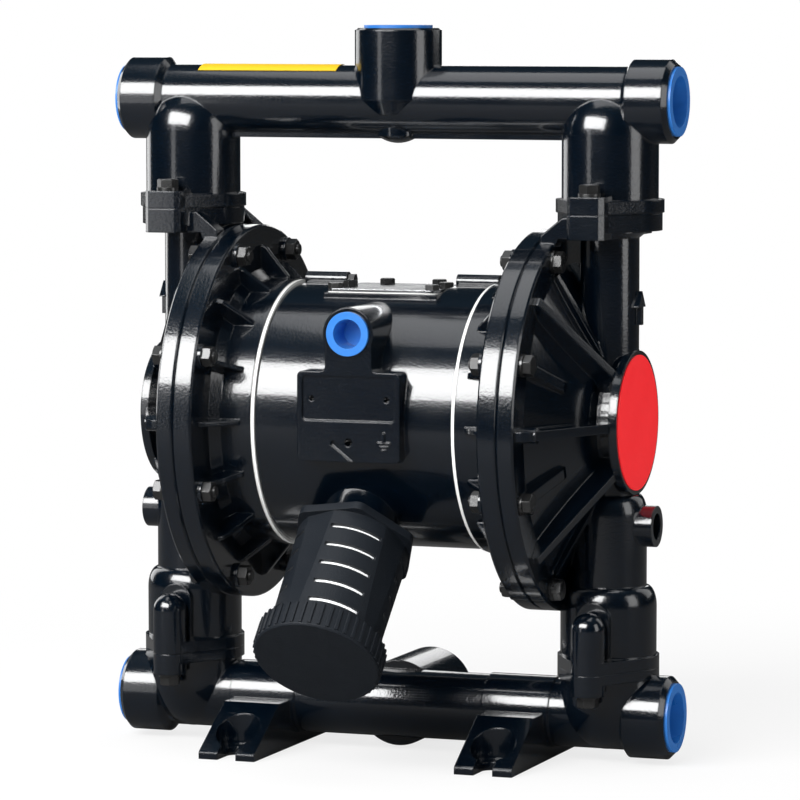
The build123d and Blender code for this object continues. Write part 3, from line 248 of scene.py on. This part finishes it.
def finish(
    name, color, rough, skin=None, edge_mm=0.0, metallic=0.0, specular=0.5, blotch=40.0, lacquer=None,
    glow=0.0,
):
    """Material with wandering gloss. skin is (fine scale, slow scale, slow share, depth in mm)."""
    material = bpy.data.materials.new(name)
    material.use_nodes = True
    nodes = material.node_tree.nodes
    join = material.node_tree.links.new
    shader = nodes["Principled BSDF"]
    shader.inputs["Base Color"].default_value = (*color, 1)
    shader.inputs["Metallic"].default_value = metallic
    shader.inputs["Specular IOR Level"].default_value = specular
    if lacquer:
        shader.inputs["Coat Weight"].default_value = 1.0
        shader.inputs["Coat Roughness"].default_value = lacquer
    # glow makes the surface shine in its own colour: painted light on a part that is no lamp
    if glow:
        shader.inputs["Emission Color"].default_value = (*color, 1)
        shader.inputs["Emission Strength"].default_value = glow
    gloss = nodes.new("ShaderNodeGroup")
    gloss.node_tree = BLOTCH
    gloss.inputs["Scale"].default_value = blotch
    gloss.inputs["Low"].default_value = rough[0]
    gloss.inputs["High"].default_value = rough[1]
    join(gloss.outputs["Roughness"], shader.inputs["Roughness"])
    normal = None
    if edge_mm:
        bevel = nodes.new("ShaderNodeBevel")
        bevel.samples = 6
        bevel.inputs["Radius"].default_value = edge_mm * MM
        normal = bevel.outputs["Normal"]
    if skin:
        ripple = nodes.new("ShaderNodeGroup")
        ripple.node_tree = RIPPLE
        ripple.inputs["Fine Scale"].default_value = skin[0]
        ripple.inputs["Slow Scale"].default_value = skin[1]
        ripple.inputs["Slow Share"].default_value = skin[2]
        bump = nodes.new("ShaderNodeBump")
        bump.inputs["Strength"].default_value = 1.0
        bump.inputs["Distance"].default_value = skin[3] * MM
        join(ripple.outputs["Height"], bump.inputs["Height"])
        if normal:
            join(normal, bump.inputs["Normal"])
        normal = bump.outputs["Normal"]
    if normal:
        join(normal, shader.inputs["Normal"])
    return material


# %% The pump's finishes
# Painted light: the red print and the white felt glow faintly in their own colour, which lifts them where the
# soft panels leave them too dark.
PAINTED_LIGHT_GLOW = 0.25    # lifts the red print and the felt, which the soft panels leave too dark

MATERIALS = {
    "black_coat": finish(
        "gloss_black_coat", (0.0005, 0.0028, 0.0066), (0.15, 0.21), (850, 90, 0.35, 0.13), 1.3,
        specular=0.7, lacquer=0.08,
    ),
    "zinc_steel": finish(
        "dark_fastener_steel", (0.10, 0.10, 0.10), (0.22, 0.38), (900, 200, 0.3, 0.03), 0.4, 0.9,
    ),
    "cover_plate": finish(
        "bright_valve_cover", (0.50, 0.51, 0.52), (0.16, 0.26), (300, 60, 0.5, 0.03), 0.5, 1.0,
    ),
    "bright_gasket": finish("pale_gasket", (0.80, 0.80, 0.78), (0.45, 0.6), (1500, 300, 0.4, 0.04)),
    "diaphragm_rubber": finish("diaphragm_rubber", (0.012, 0.012, 0.012), (0.6, 0.75), (800, 90, 0.3, 0.06)),
    "seal_rubber": finish("seal_rubber", (0.015, 0.015, 0.015), (0.45, 0.6), (900, 90, 0.3, 0.04)),
    "white_ptfe": finish("white_ball_plastic", (0.80, 0.80, 0.78), (0.3, 0.42), (700, 80, 0.4, 0.03)),
    "blue_plastic": finish(
        "blue_plug_plastic", (0.022, 0.165, 0.53), (0.26, 0.38), (500, 70, 0.5, 0.04), 0.4,
    ),
    "charcoal_plastic": finish(
        "charcoal_silencer_plastic", (0.0058, 0.0088, 0.0135), (0.46, 0.60), (1300, 120, 0.2, 0.16), 0.6,
        specular=0.35,
    ),
    "felt_white": finish(
        "white_silencer_liner", (0.86, 0.87, 0.88), (0.8, 0.95), (1800, 200, 0.2, 0.1), glow=PAINTED_LIGHT_GLOW,
    ),
    "bronze": finish("bush_bronze", (0.42, 0.25, 0.10), (0.3, 0.42), (900, 90, 0.3, 0.03), 0.3, 1.0),
    "dark_steel": finish("turned_steel", (0.34, 0.34, 0.34), (0.24, 0.36), (900, 90, 0.3, 0.03), 0.4, 1.0),
    "valve_plastic": finish("valve_block_plastic", (0.02, 0.02, 0.02), (0.4, 0.5), (700, 90, 0.4, 0.05), 0.5),
    "red_label": finish(
        "red_label_print", (0.90, 0.014, 0.020), (0.30, 0.40), (900, 40, 0.7, 0.02), 0.3, glow=PAINTED_LIGHT_GLOW,
    ),
    "yellow_label": finish("yellow_strip_print", (0.78, 0.50, 0.012), (0.34, 0.44), (900, 40, 0.7, 0.02)),
}
slot_of = {part["node"]: part["material_slot"] for part in record["subparts"]}

for name, node in frame["nodes"].items():
    node.data.materials.clear()
    node.data.materials.append(MATERIALS[slot_of[name]])
print("materials", len(MATERIALS))

# %% [markdown]
# ## Screws and nuts
# The covers, the joints and the valve are held by hex screws. A real head is a bar of hexagon steel whose
# corners are turned off by a cone, and its end shows a few turns of thread. Geometry Nodes make one such
# piece from its sizes and set it on every seat, turned by a random angle, because nobody lines screws up.
# The result is made a plain mesh, since the instances of a live tree are lost on export.

# %% Helpers for geometry trees


def geometry_tree(name, sizes):
    """Geometry tree with named float inputs. Gives the tree, its input node and a node maker."""
    tree = bpy.data.node_groups.new(name, "GeometryNodeTree")
    tree.interface.new_socket("Geometry", in_out="INPUT", socket_type="NodeSocketGeometry")
    for label in sizes:
        tree.interface.new_socket(label, in_out="INPUT", socket_type="NodeSocketFloat")
    tree.interface.new_socket("Geometry", in_out="OUTPUT", socket_type="NodeSocketGeometry")

    def make(kind, links=(), **values):
        node = tree.nodes.new(kind)
        for key, value in values.items():
            setattr(node, key, value)
        for label, source in dict(links).items():
            target = node.inputs[label]
            if isinstance(source, bpy.types.NodeSocket):
                tree.links.new(source, target)
            else:
                target.default_value = source
        return node

    return tree, tree.nodes.new("NodeGroupInput"), make


def math(make, operation, a, b=0.0, c=0.0):
    """Output of one Math node."""
    return make("ShaderNodeMath", {0: a, 1: b, 2: c}, operation=operation).outputs[0]


def lifted(make, mesh, height):
    """A mesh moved along Z."""
    offset = make("ShaderNodeCombineXYZ", {"Z": height}).outputs[0]
    return make("GeometryNodeTransform", {"Geometry": mesh, "Translation": offset}).outputs[0]


print("geometry helpers ready")

# %% Tree: hexagon fasteners on seats
CHAMFER_SLOPE = 1.73         # run of the corner cone for each unit of rise
CHAMFER_FACE = 0.95          # radius of the flat end, as a share of half the size across flats
THREAD_DEPTH = 0.09          # as a share of the thread's radius


def fastener_tree():
    """Hexagon with turned corners, a threaded bar through it, and both set on every point."""
    tree, given, make = geometry_tree(
        "hex_fasteners", ["Across Flats", "Height", "Bar Radius", "Bar Start", "Bar Length", "Pitch"],
    )
    # head: the rings of a unit drum are drawn to the hexagon, and its upper rim down to the corner cone
    height = given.outputs["Height"]
    half_flats = math(make, "MULTIPLY", given.outputs["Across Flats"], 0.5)
    face_r = math(make, "MULTIPLY", half_flats, CHAMFER_FACE)
    drum = make("GeometryNodeMeshCylinder", {
        "Vertices": 48, "Fill Segments": 2, "Radius": 1.0, "Depth": 1.0,
    }, fill_type="TRIANGLE_FAN").outputs["Mesh"]
    spot = make("ShaderNodeSeparateXYZ", {0: make("GeometryNodeInputPosition").outputs[0]})
    x, y = spot.outputs["X"], spot.outputs["Y"]
    ring = math(make, "SQRT", math(make, "MULTIPLY_ADD", x, x, math(make, "MULTIPLY", y, y)))
    rim = math(make, "GREATER_THAN", ring, 0.75)
    bearing = math(make, "PINGPONG", math(make, "ARCTAN2", y, x), pi / 6)
    hexagon_r = math(make, "DIVIDE", half_flats, math(make, "COSINE", bearing))
    over = math(make, "SUBTRACT", hexagon_r, face_r)
    reach = math(make, "MULTIPLY_ADD", rim, over, face_r)
    grow = math(make, "DIVIDE", reach, math(make, "MAXIMUM", ring, 0.5))
    drop = math(make, "MULTIPLY", rim, math(make, "DIVIDE", over, CHAMFER_SLOPE))
    upper = math(make, "GREATER_THAN", spot.outputs["Z"], 0.0)
    drawn = make("ShaderNodeCombineXYZ", {
        "X": math(make, "MULTIPLY", x, grow), "Y": math(make, "MULTIPLY", y, grow),
        "Z": math(make, "MULTIPLY", upper, math(make, "SUBTRACT", height, drop)),
    }).outputs[0]
    head = make("GeometryNodeSetPosition", {"Geometry": drum, "Position": drawn}).outputs[0]
    # threaded bar: the radius of each ring of a fine cylinder follows a zigzag along the bar
    pitch, bar_r = given.outputs["Pitch"], given.outputs["Bar Radius"]
    length = given.outputs["Bar Length"]
    half_turns = math(make, "ROUND", math(make, "DIVIDE", math(make, "MULTIPLY", length, 2.0), pitch))
    rings = make("FunctionNodeFloatToInt", {0: half_turns})
    bar = make("GeometryNodeMeshCylinder", {
        "Vertices": 20, "Side Segments": rings.outputs[0], "Radius": bar_r, "Depth": length,
    }).outputs["Mesh"]
    place = make("GeometryNodeInputPosition").outputs[0]
    parts = make("ShaderNodeSeparateXYZ", {0: place})
    along = math(make, "MULTIPLY_ADD", length, 0.5, parts.outputs["Z"])
    step = math(make, "DIVIDE", length, half_turns)
    share = math(make, "DIVIDE", math(make, "PINGPONG", along, step), step)
    factor = math(make, "MULTIPLY_ADD", share, -THREAD_DEPTH, 1.0)
    thinned = make("ShaderNodeCombineXYZ", {
        "X": math(make, "MULTIPLY", parts.outputs["X"], factor),
        "Y": math(make, "MULTIPLY", parts.outputs["Y"], factor), "Z": parts.outputs["Z"],
    }).outputs[0]
    thread = make("GeometryNodeSetPosition", {"Geometry": bar, "Position": thinned}).outputs[0]
    half_bar = math(make, "MULTIPLY", length, 0.5)
    thread = lifted(make, thread, math(make, "ADD", given.outputs["Bar Start"], half_bar))
    both = make("GeometryNodeJoinGeometry")
    tree.links.new(head, both.inputs[0])
    tree.links.new(thread, both.inputs[0])
    # each piece stands along the seat's own direction, turned about it at random
    way = make("GeometryNodeInputNamedAttribute", {"Name": "way"}, data_type="FLOAT_VECTOR")
    upright = make("FunctionNodeAlignRotationToVector", {"Vector": way.outputs["Attribute"]}, axis="Z")
    chance = make("FunctionNodeRandomValue", {"Min": 0.0, "Max": pi / 3, "Seed": 7}, data_type="FLOAT")
    spin = make("ShaderNodeCombineXYZ", {"Z": chance.outputs["Value"]})
    turned = make("FunctionNodeRotateRotation", {
        "Rotation": upright.outputs[0], "Rotate By": spin.outputs[0],
    }, rotation_space="LOCAL")
    placed = make("GeometryNodeInstanceOnPoints", {
        "Points": given.outputs["Geometry"], "Instance": both.outputs[0], "Rotation": turned.outputs[0],
    }).outputs[0]
    real = make("GeometryNodeRealizeInstances", {"Geometry": placed}).outputs[0]
    steel = make("GeometryNodeSetMaterial", {
        "Geometry": real, "Material": MATERIALS["zinc_steel"],
    }).outputs[0]
    result = tree.nodes.new("NodeGroupOutput")
    tree.links.new(steel, result.inputs["Geometry"])
    return tree


FASTENERS = fastener_tree()
print("tree", FASTENERS.name, len(FASTENERS.nodes), "nodes")

# %% Set fasteners on their seats


def fasteners(name, seats, sizes, node, body="root"):
    """Plain mesh of fasteners on seats, a list of (place, direction), in place of a CAD node."""
    mesh = bpy.data.meshes.new(name + "_seats")
    mesh.from_pydata([place for place, _ in seats], [], [])
    way = mesh.attributes.new("way", "FLOAT_VECTOR", "POINT")
    for item, (_, direction) in zip(way.data, seats):
        item.vector = direction
    holder = bpy.data.objects.new(name, mesh)
    scene.collection.objects.link(holder)
    modifier = holder.modifiers.new("fasteners", "NODES")
    modifier.node_group = FASTENERS
    for item in FASTENERS.interface.items_tree:
        if item.in_out == "INPUT" and item.name in sizes:
            modifier[item.identifier] = sizes[item.name] * MM
    graph = bpy.context.evaluated_depsgraph_get()
    solid = bpy.data.meshes.new_from_object(holder.evaluated_get(graph))
    bpy.data.objects.remove(holder)
    piece = bpy.data.objects.new(name, solid)
    scene.collection.objects.link(piece)
    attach(piece, body)
    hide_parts(node)
    print(name, len(seats), "pieces", len(solid.polygons), "faces")
    return piece


cover_low, cover_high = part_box("cover_washers")
SHAFT_Z = (cover_low.z + cover_high.z) / 2
BOLT_CIRCLE_R = 93.5 * MM
COVER_BOLTS = 8
M6_FLATS, M6_HEAD, M6_NUT, M6_R, M6_PITCH = 10.0, 4.6, 5.0, 2.95, 1.0
NUT_BAR_START = 0.2          # the bar starts just inside the nut
NUT_BAR_PROUD = 1.2          # and is this much longer than the nut is high
cover_angles = [2 * pi * (k + 0.5) / COVER_BOLTS for k in range(COVER_BOLTS)]


def cover_seats(x, outward):
    """Seats around both cover joints at this distance from the middle of the pump."""
    return [
        ((side * x, BOLT_CIRCLE_R * cos(turn), SHAFT_Z + BOLT_CIRCLE_R * sin(turn)), (side * outward, 0, 0))
        for side in (-1, 1) for turn in cover_angles
    ]


nut_seat_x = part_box("cover_nuts")[1].x
bolt_sizes = {"Across Flats": M6_FLATS, "Height": M6_HEAD, "Bar Radius": M6_R, "Pitch": M6_PITCH}
shank = (cover_high.x - nut_seat_x) / MM
fasteners("cover_screws", cover_seats(cover_high.x, 1), {
    **bolt_sizes, "Bar Start": -shank, "Bar Length": shank,
}, "cover_bolts")
fasteners("cover_hex_nuts", cover_seats(nut_seat_x, -1), {
    **bolt_sizes, "Height": M6_NUT, "Bar Start": NUT_BAR_START, "Bar Length": M6_NUT + NUT_BAR_PROUD,
}, "cover_nuts")

# %% Screws of the four joints and of the valve cover
EAR_Y = 36.0 * MM
RISER_X = 119.3 * MM


def joint_seats(z, up):
    """Seats at the front and back of both risers."""
    return [((x, y, z), (0, 0, up)) for x in (-RISER_X, RISER_X) for y in (-EAR_Y, EAR_Y)]


JOINT_BAR = 20.0
joint_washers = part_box("joint_washers")
joint_sizes = {**bolt_sizes, "Bar Start": -JOINT_BAR, "Bar Length": JOINT_BAR}
fasteners("outlet_joint_screws", joint_seats(joint_washers[1].z, 1), joint_sizes, "outlet_joint_bolts")
fasteners("inlet_joint_screws", joint_seats(joint_washers[0].z, -1), joint_sizes, "inlet_joint_bolts")

VALVE_SCREW_X, VALVE_SIDE_X, VALVE_FRONT_Y, VALVE_REAR_Y = 27.5, 15.0, -23.0, 24.0
valve_places = [(side * VALVE_SCREW_X, y) for y in (VALVE_FRONT_Y, 0.0) for side in (-1, 1)]
valve_places += [(side * VALVE_SIDE_X, VALVE_REAR_Y) for side in (-1, 1)]
valve_top_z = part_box("valve_cover")[1].z
M4_FLATS, M4_HEAD, M4_R, M4_PITCH, M4_BAR = 7.0, 2.9, 1.95, 0.7, 7.5
fasteners("valve_screws", [((x * MM, y * MM, valve_top_z), (0, 0, 1)) for x, y in valve_places], {
    "Across Flats": M4_FLATS, "Height": M4_HEAD, "Bar Radius": M4_R, "Bar Start": -M4_BAR,
    "Bar Length": M4_BAR, "Pitch": M4_PITCH,
}, "valve_cover_screws")

# %% [markdown]
# ## Felt of the silencer
# Behind the slots of the silencer sits a white felt sleeve, and it shows as bright curved lines. The felt is
# soft and swells into the slots from inside, so here it is a sleeve that reaches into the thickness of the
# plastic wall, where a stiff tube would lie deep in shadow.

# %% Felt sleeve
EXHAUST_X = -2.5 * MM
EXHAUST_ANGLE = radians(45.4)    # to the front, below the horizontal
FELT_REACH = (93.5 * MM, 158.5 * MM)     # along the exhaust, from the shaft's axis
FELT_R = (24.8 * MM, 27.7 * MM)
FELT_SIDES = 72

out_way = Vector((0, -cos(EXHAUST_ANGLE), -sin(EXHAUST_ANGLE)))
across = Vector((1, 0, 0))
upwards = out_way.cross(across)
mouth = Vector((EXHAUST_X, 0, SHAFT_Z))
inner_r, outer_r = FELT_R
near_end, far_end = FELT_REACH
outline = [(inner_r, near_end), (outer_r, near_end), (outer_r, far_end), (inner_r, far_end)]
places = [
    mouth + out_way * reach + (across * cos(turn) + upwards * sin(turn)) * radius
    for turn in (2 * pi * k / FELT_SIDES for k in range(FELT_SIDES)) for radius, reach in outline
]
count = len(outline)
faces = [
    [count * k + m, count * k + (m + 1) % count, count * ((k + 1) % FELT_SIDES) + (m + 1) % count,
     count * ((k + 1) % FELT_SIDES) + m]
    for k in range(FELT_SIDES) for m in range(count)
]
felt_mesh = bpy.data.meshes.new("silencer_felt")
felt_mesh.from_pydata(places, [], faces)
shell = bmesh.new()
shell.from_mesh(felt_mesh)
bmesh.ops.recalc_face_normals(shell, faces=shell.faces)
shell.to_mesh(felt_mesh)
shell.free()
# The felt's finish glows faintly: painted light that makes its lines in the slots brighter than the lamps
# alone would.
felt_mesh.materials.append(MATERIALS["felt_white"])
felt = bpy.data.objects.new("silencer_felt", felt_mesh)
scene.collection.objects.link(felt)
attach(felt, "root")
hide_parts("muffler_liner")
print("silencer_felt", len(faces), "faces")

# %% [markdown]
# ## Floor
# The floor is a plain white sheet. To the camera it shines by itself, fully where it is far away, so it meets
# the white surround without a line, and a little less under the pump, so it still takes the pump's shadow.
# In the gloss of the pump it is nearly dark, as a small sheet in a dark room would be.

# %% Floor
FLOOR_HALF = 6.0
PAPER = 0.80
PAPER_IN_GLOSS = 0.10
SHADOW_REACH = (0.25, 0.7)   # from the pump's middle: all of the shadow up to the first, none from the second
GLOW_SHARE = 0.78

floor_mesh = bpy.data.meshes.new("floor")
floor_mesh.from_pydata(
    [(-FLOOR_HALF, -FLOOR_HALF, 0), (FLOOR_HALF, -FLOOR_HALF, 0), (FLOOR_HALF, FLOOR_HALF, 0),
     (-FLOOR_HALF, FLOOR_HALF, 0)], [], [(0, 1, 2, 3)],
)
floor = bpy.data.objects.new("floor", floor_mesh)
scene.collection.objects.link(floor)
paper = bpy.data.materials.new("white_paper")
paper.use_nodes = True
nodes = paper.node_tree.nodes
join = paper.node_tree.links.new
matt = nodes["Principled BSDF"]
matt.inputs["Roughness"].default_value = 0.9
matt.inputs["Specular IOR Level"].default_value = 0.0
glow = nodes.new("ShaderNodeEmission")
sight = nodes.new("ShaderNodeLightPath")
shade = nodes.new("ShaderNodeMath")
shade.operation = "MULTIPLY_ADD"
shade.inputs[1].default_value = PAPER_IN_GLOSS - PAPER
shade.inputs[2].default_value = PAPER
place = nodes.new("ShaderNodeTexCoord")
reach = nodes.new("ShaderNodeVectorMath")
reach.operation = "LENGTH"
fade = nodes.new("ShaderNodeMapRange")
fade.interpolation_type = "SMOOTHSTEP"
fade.inputs["From Min"].default_value = SHADOW_REACH[0]
fade.inputs["From Max"].default_value = SHADOW_REACH[1]
fade.inputs["To Min"].default_value = GLOW_SHARE
fade.inputs["To Max"].default_value = 1.0
share = nodes.new("ShaderNodeMath")
share.operation = "MULTIPLY"
blend = nodes.new("ShaderNodeMixShader")
join(sight.outputs["Is Glossy Ray"], shade.inputs[0])
join(shade.outputs[0], matt.inputs["Base Color"])
join(place.outputs["Object"], reach.inputs[0])
join(reach.outputs["Value"], fade.inputs["Value"])
join(sight.outputs["Is Camera Ray"], share.inputs[0])
join(fade.outputs["Result"], share.inputs[1])
join(share.outputs[0], blend.inputs["Fac"])
join(matt.outputs[0], blend.inputs[1])
join(glow.outputs[0], blend.inputs[2])
join(blend.outputs[0], nodes["Material Output"].inputs["Surface"])
floor_mesh.materials.append(paper)
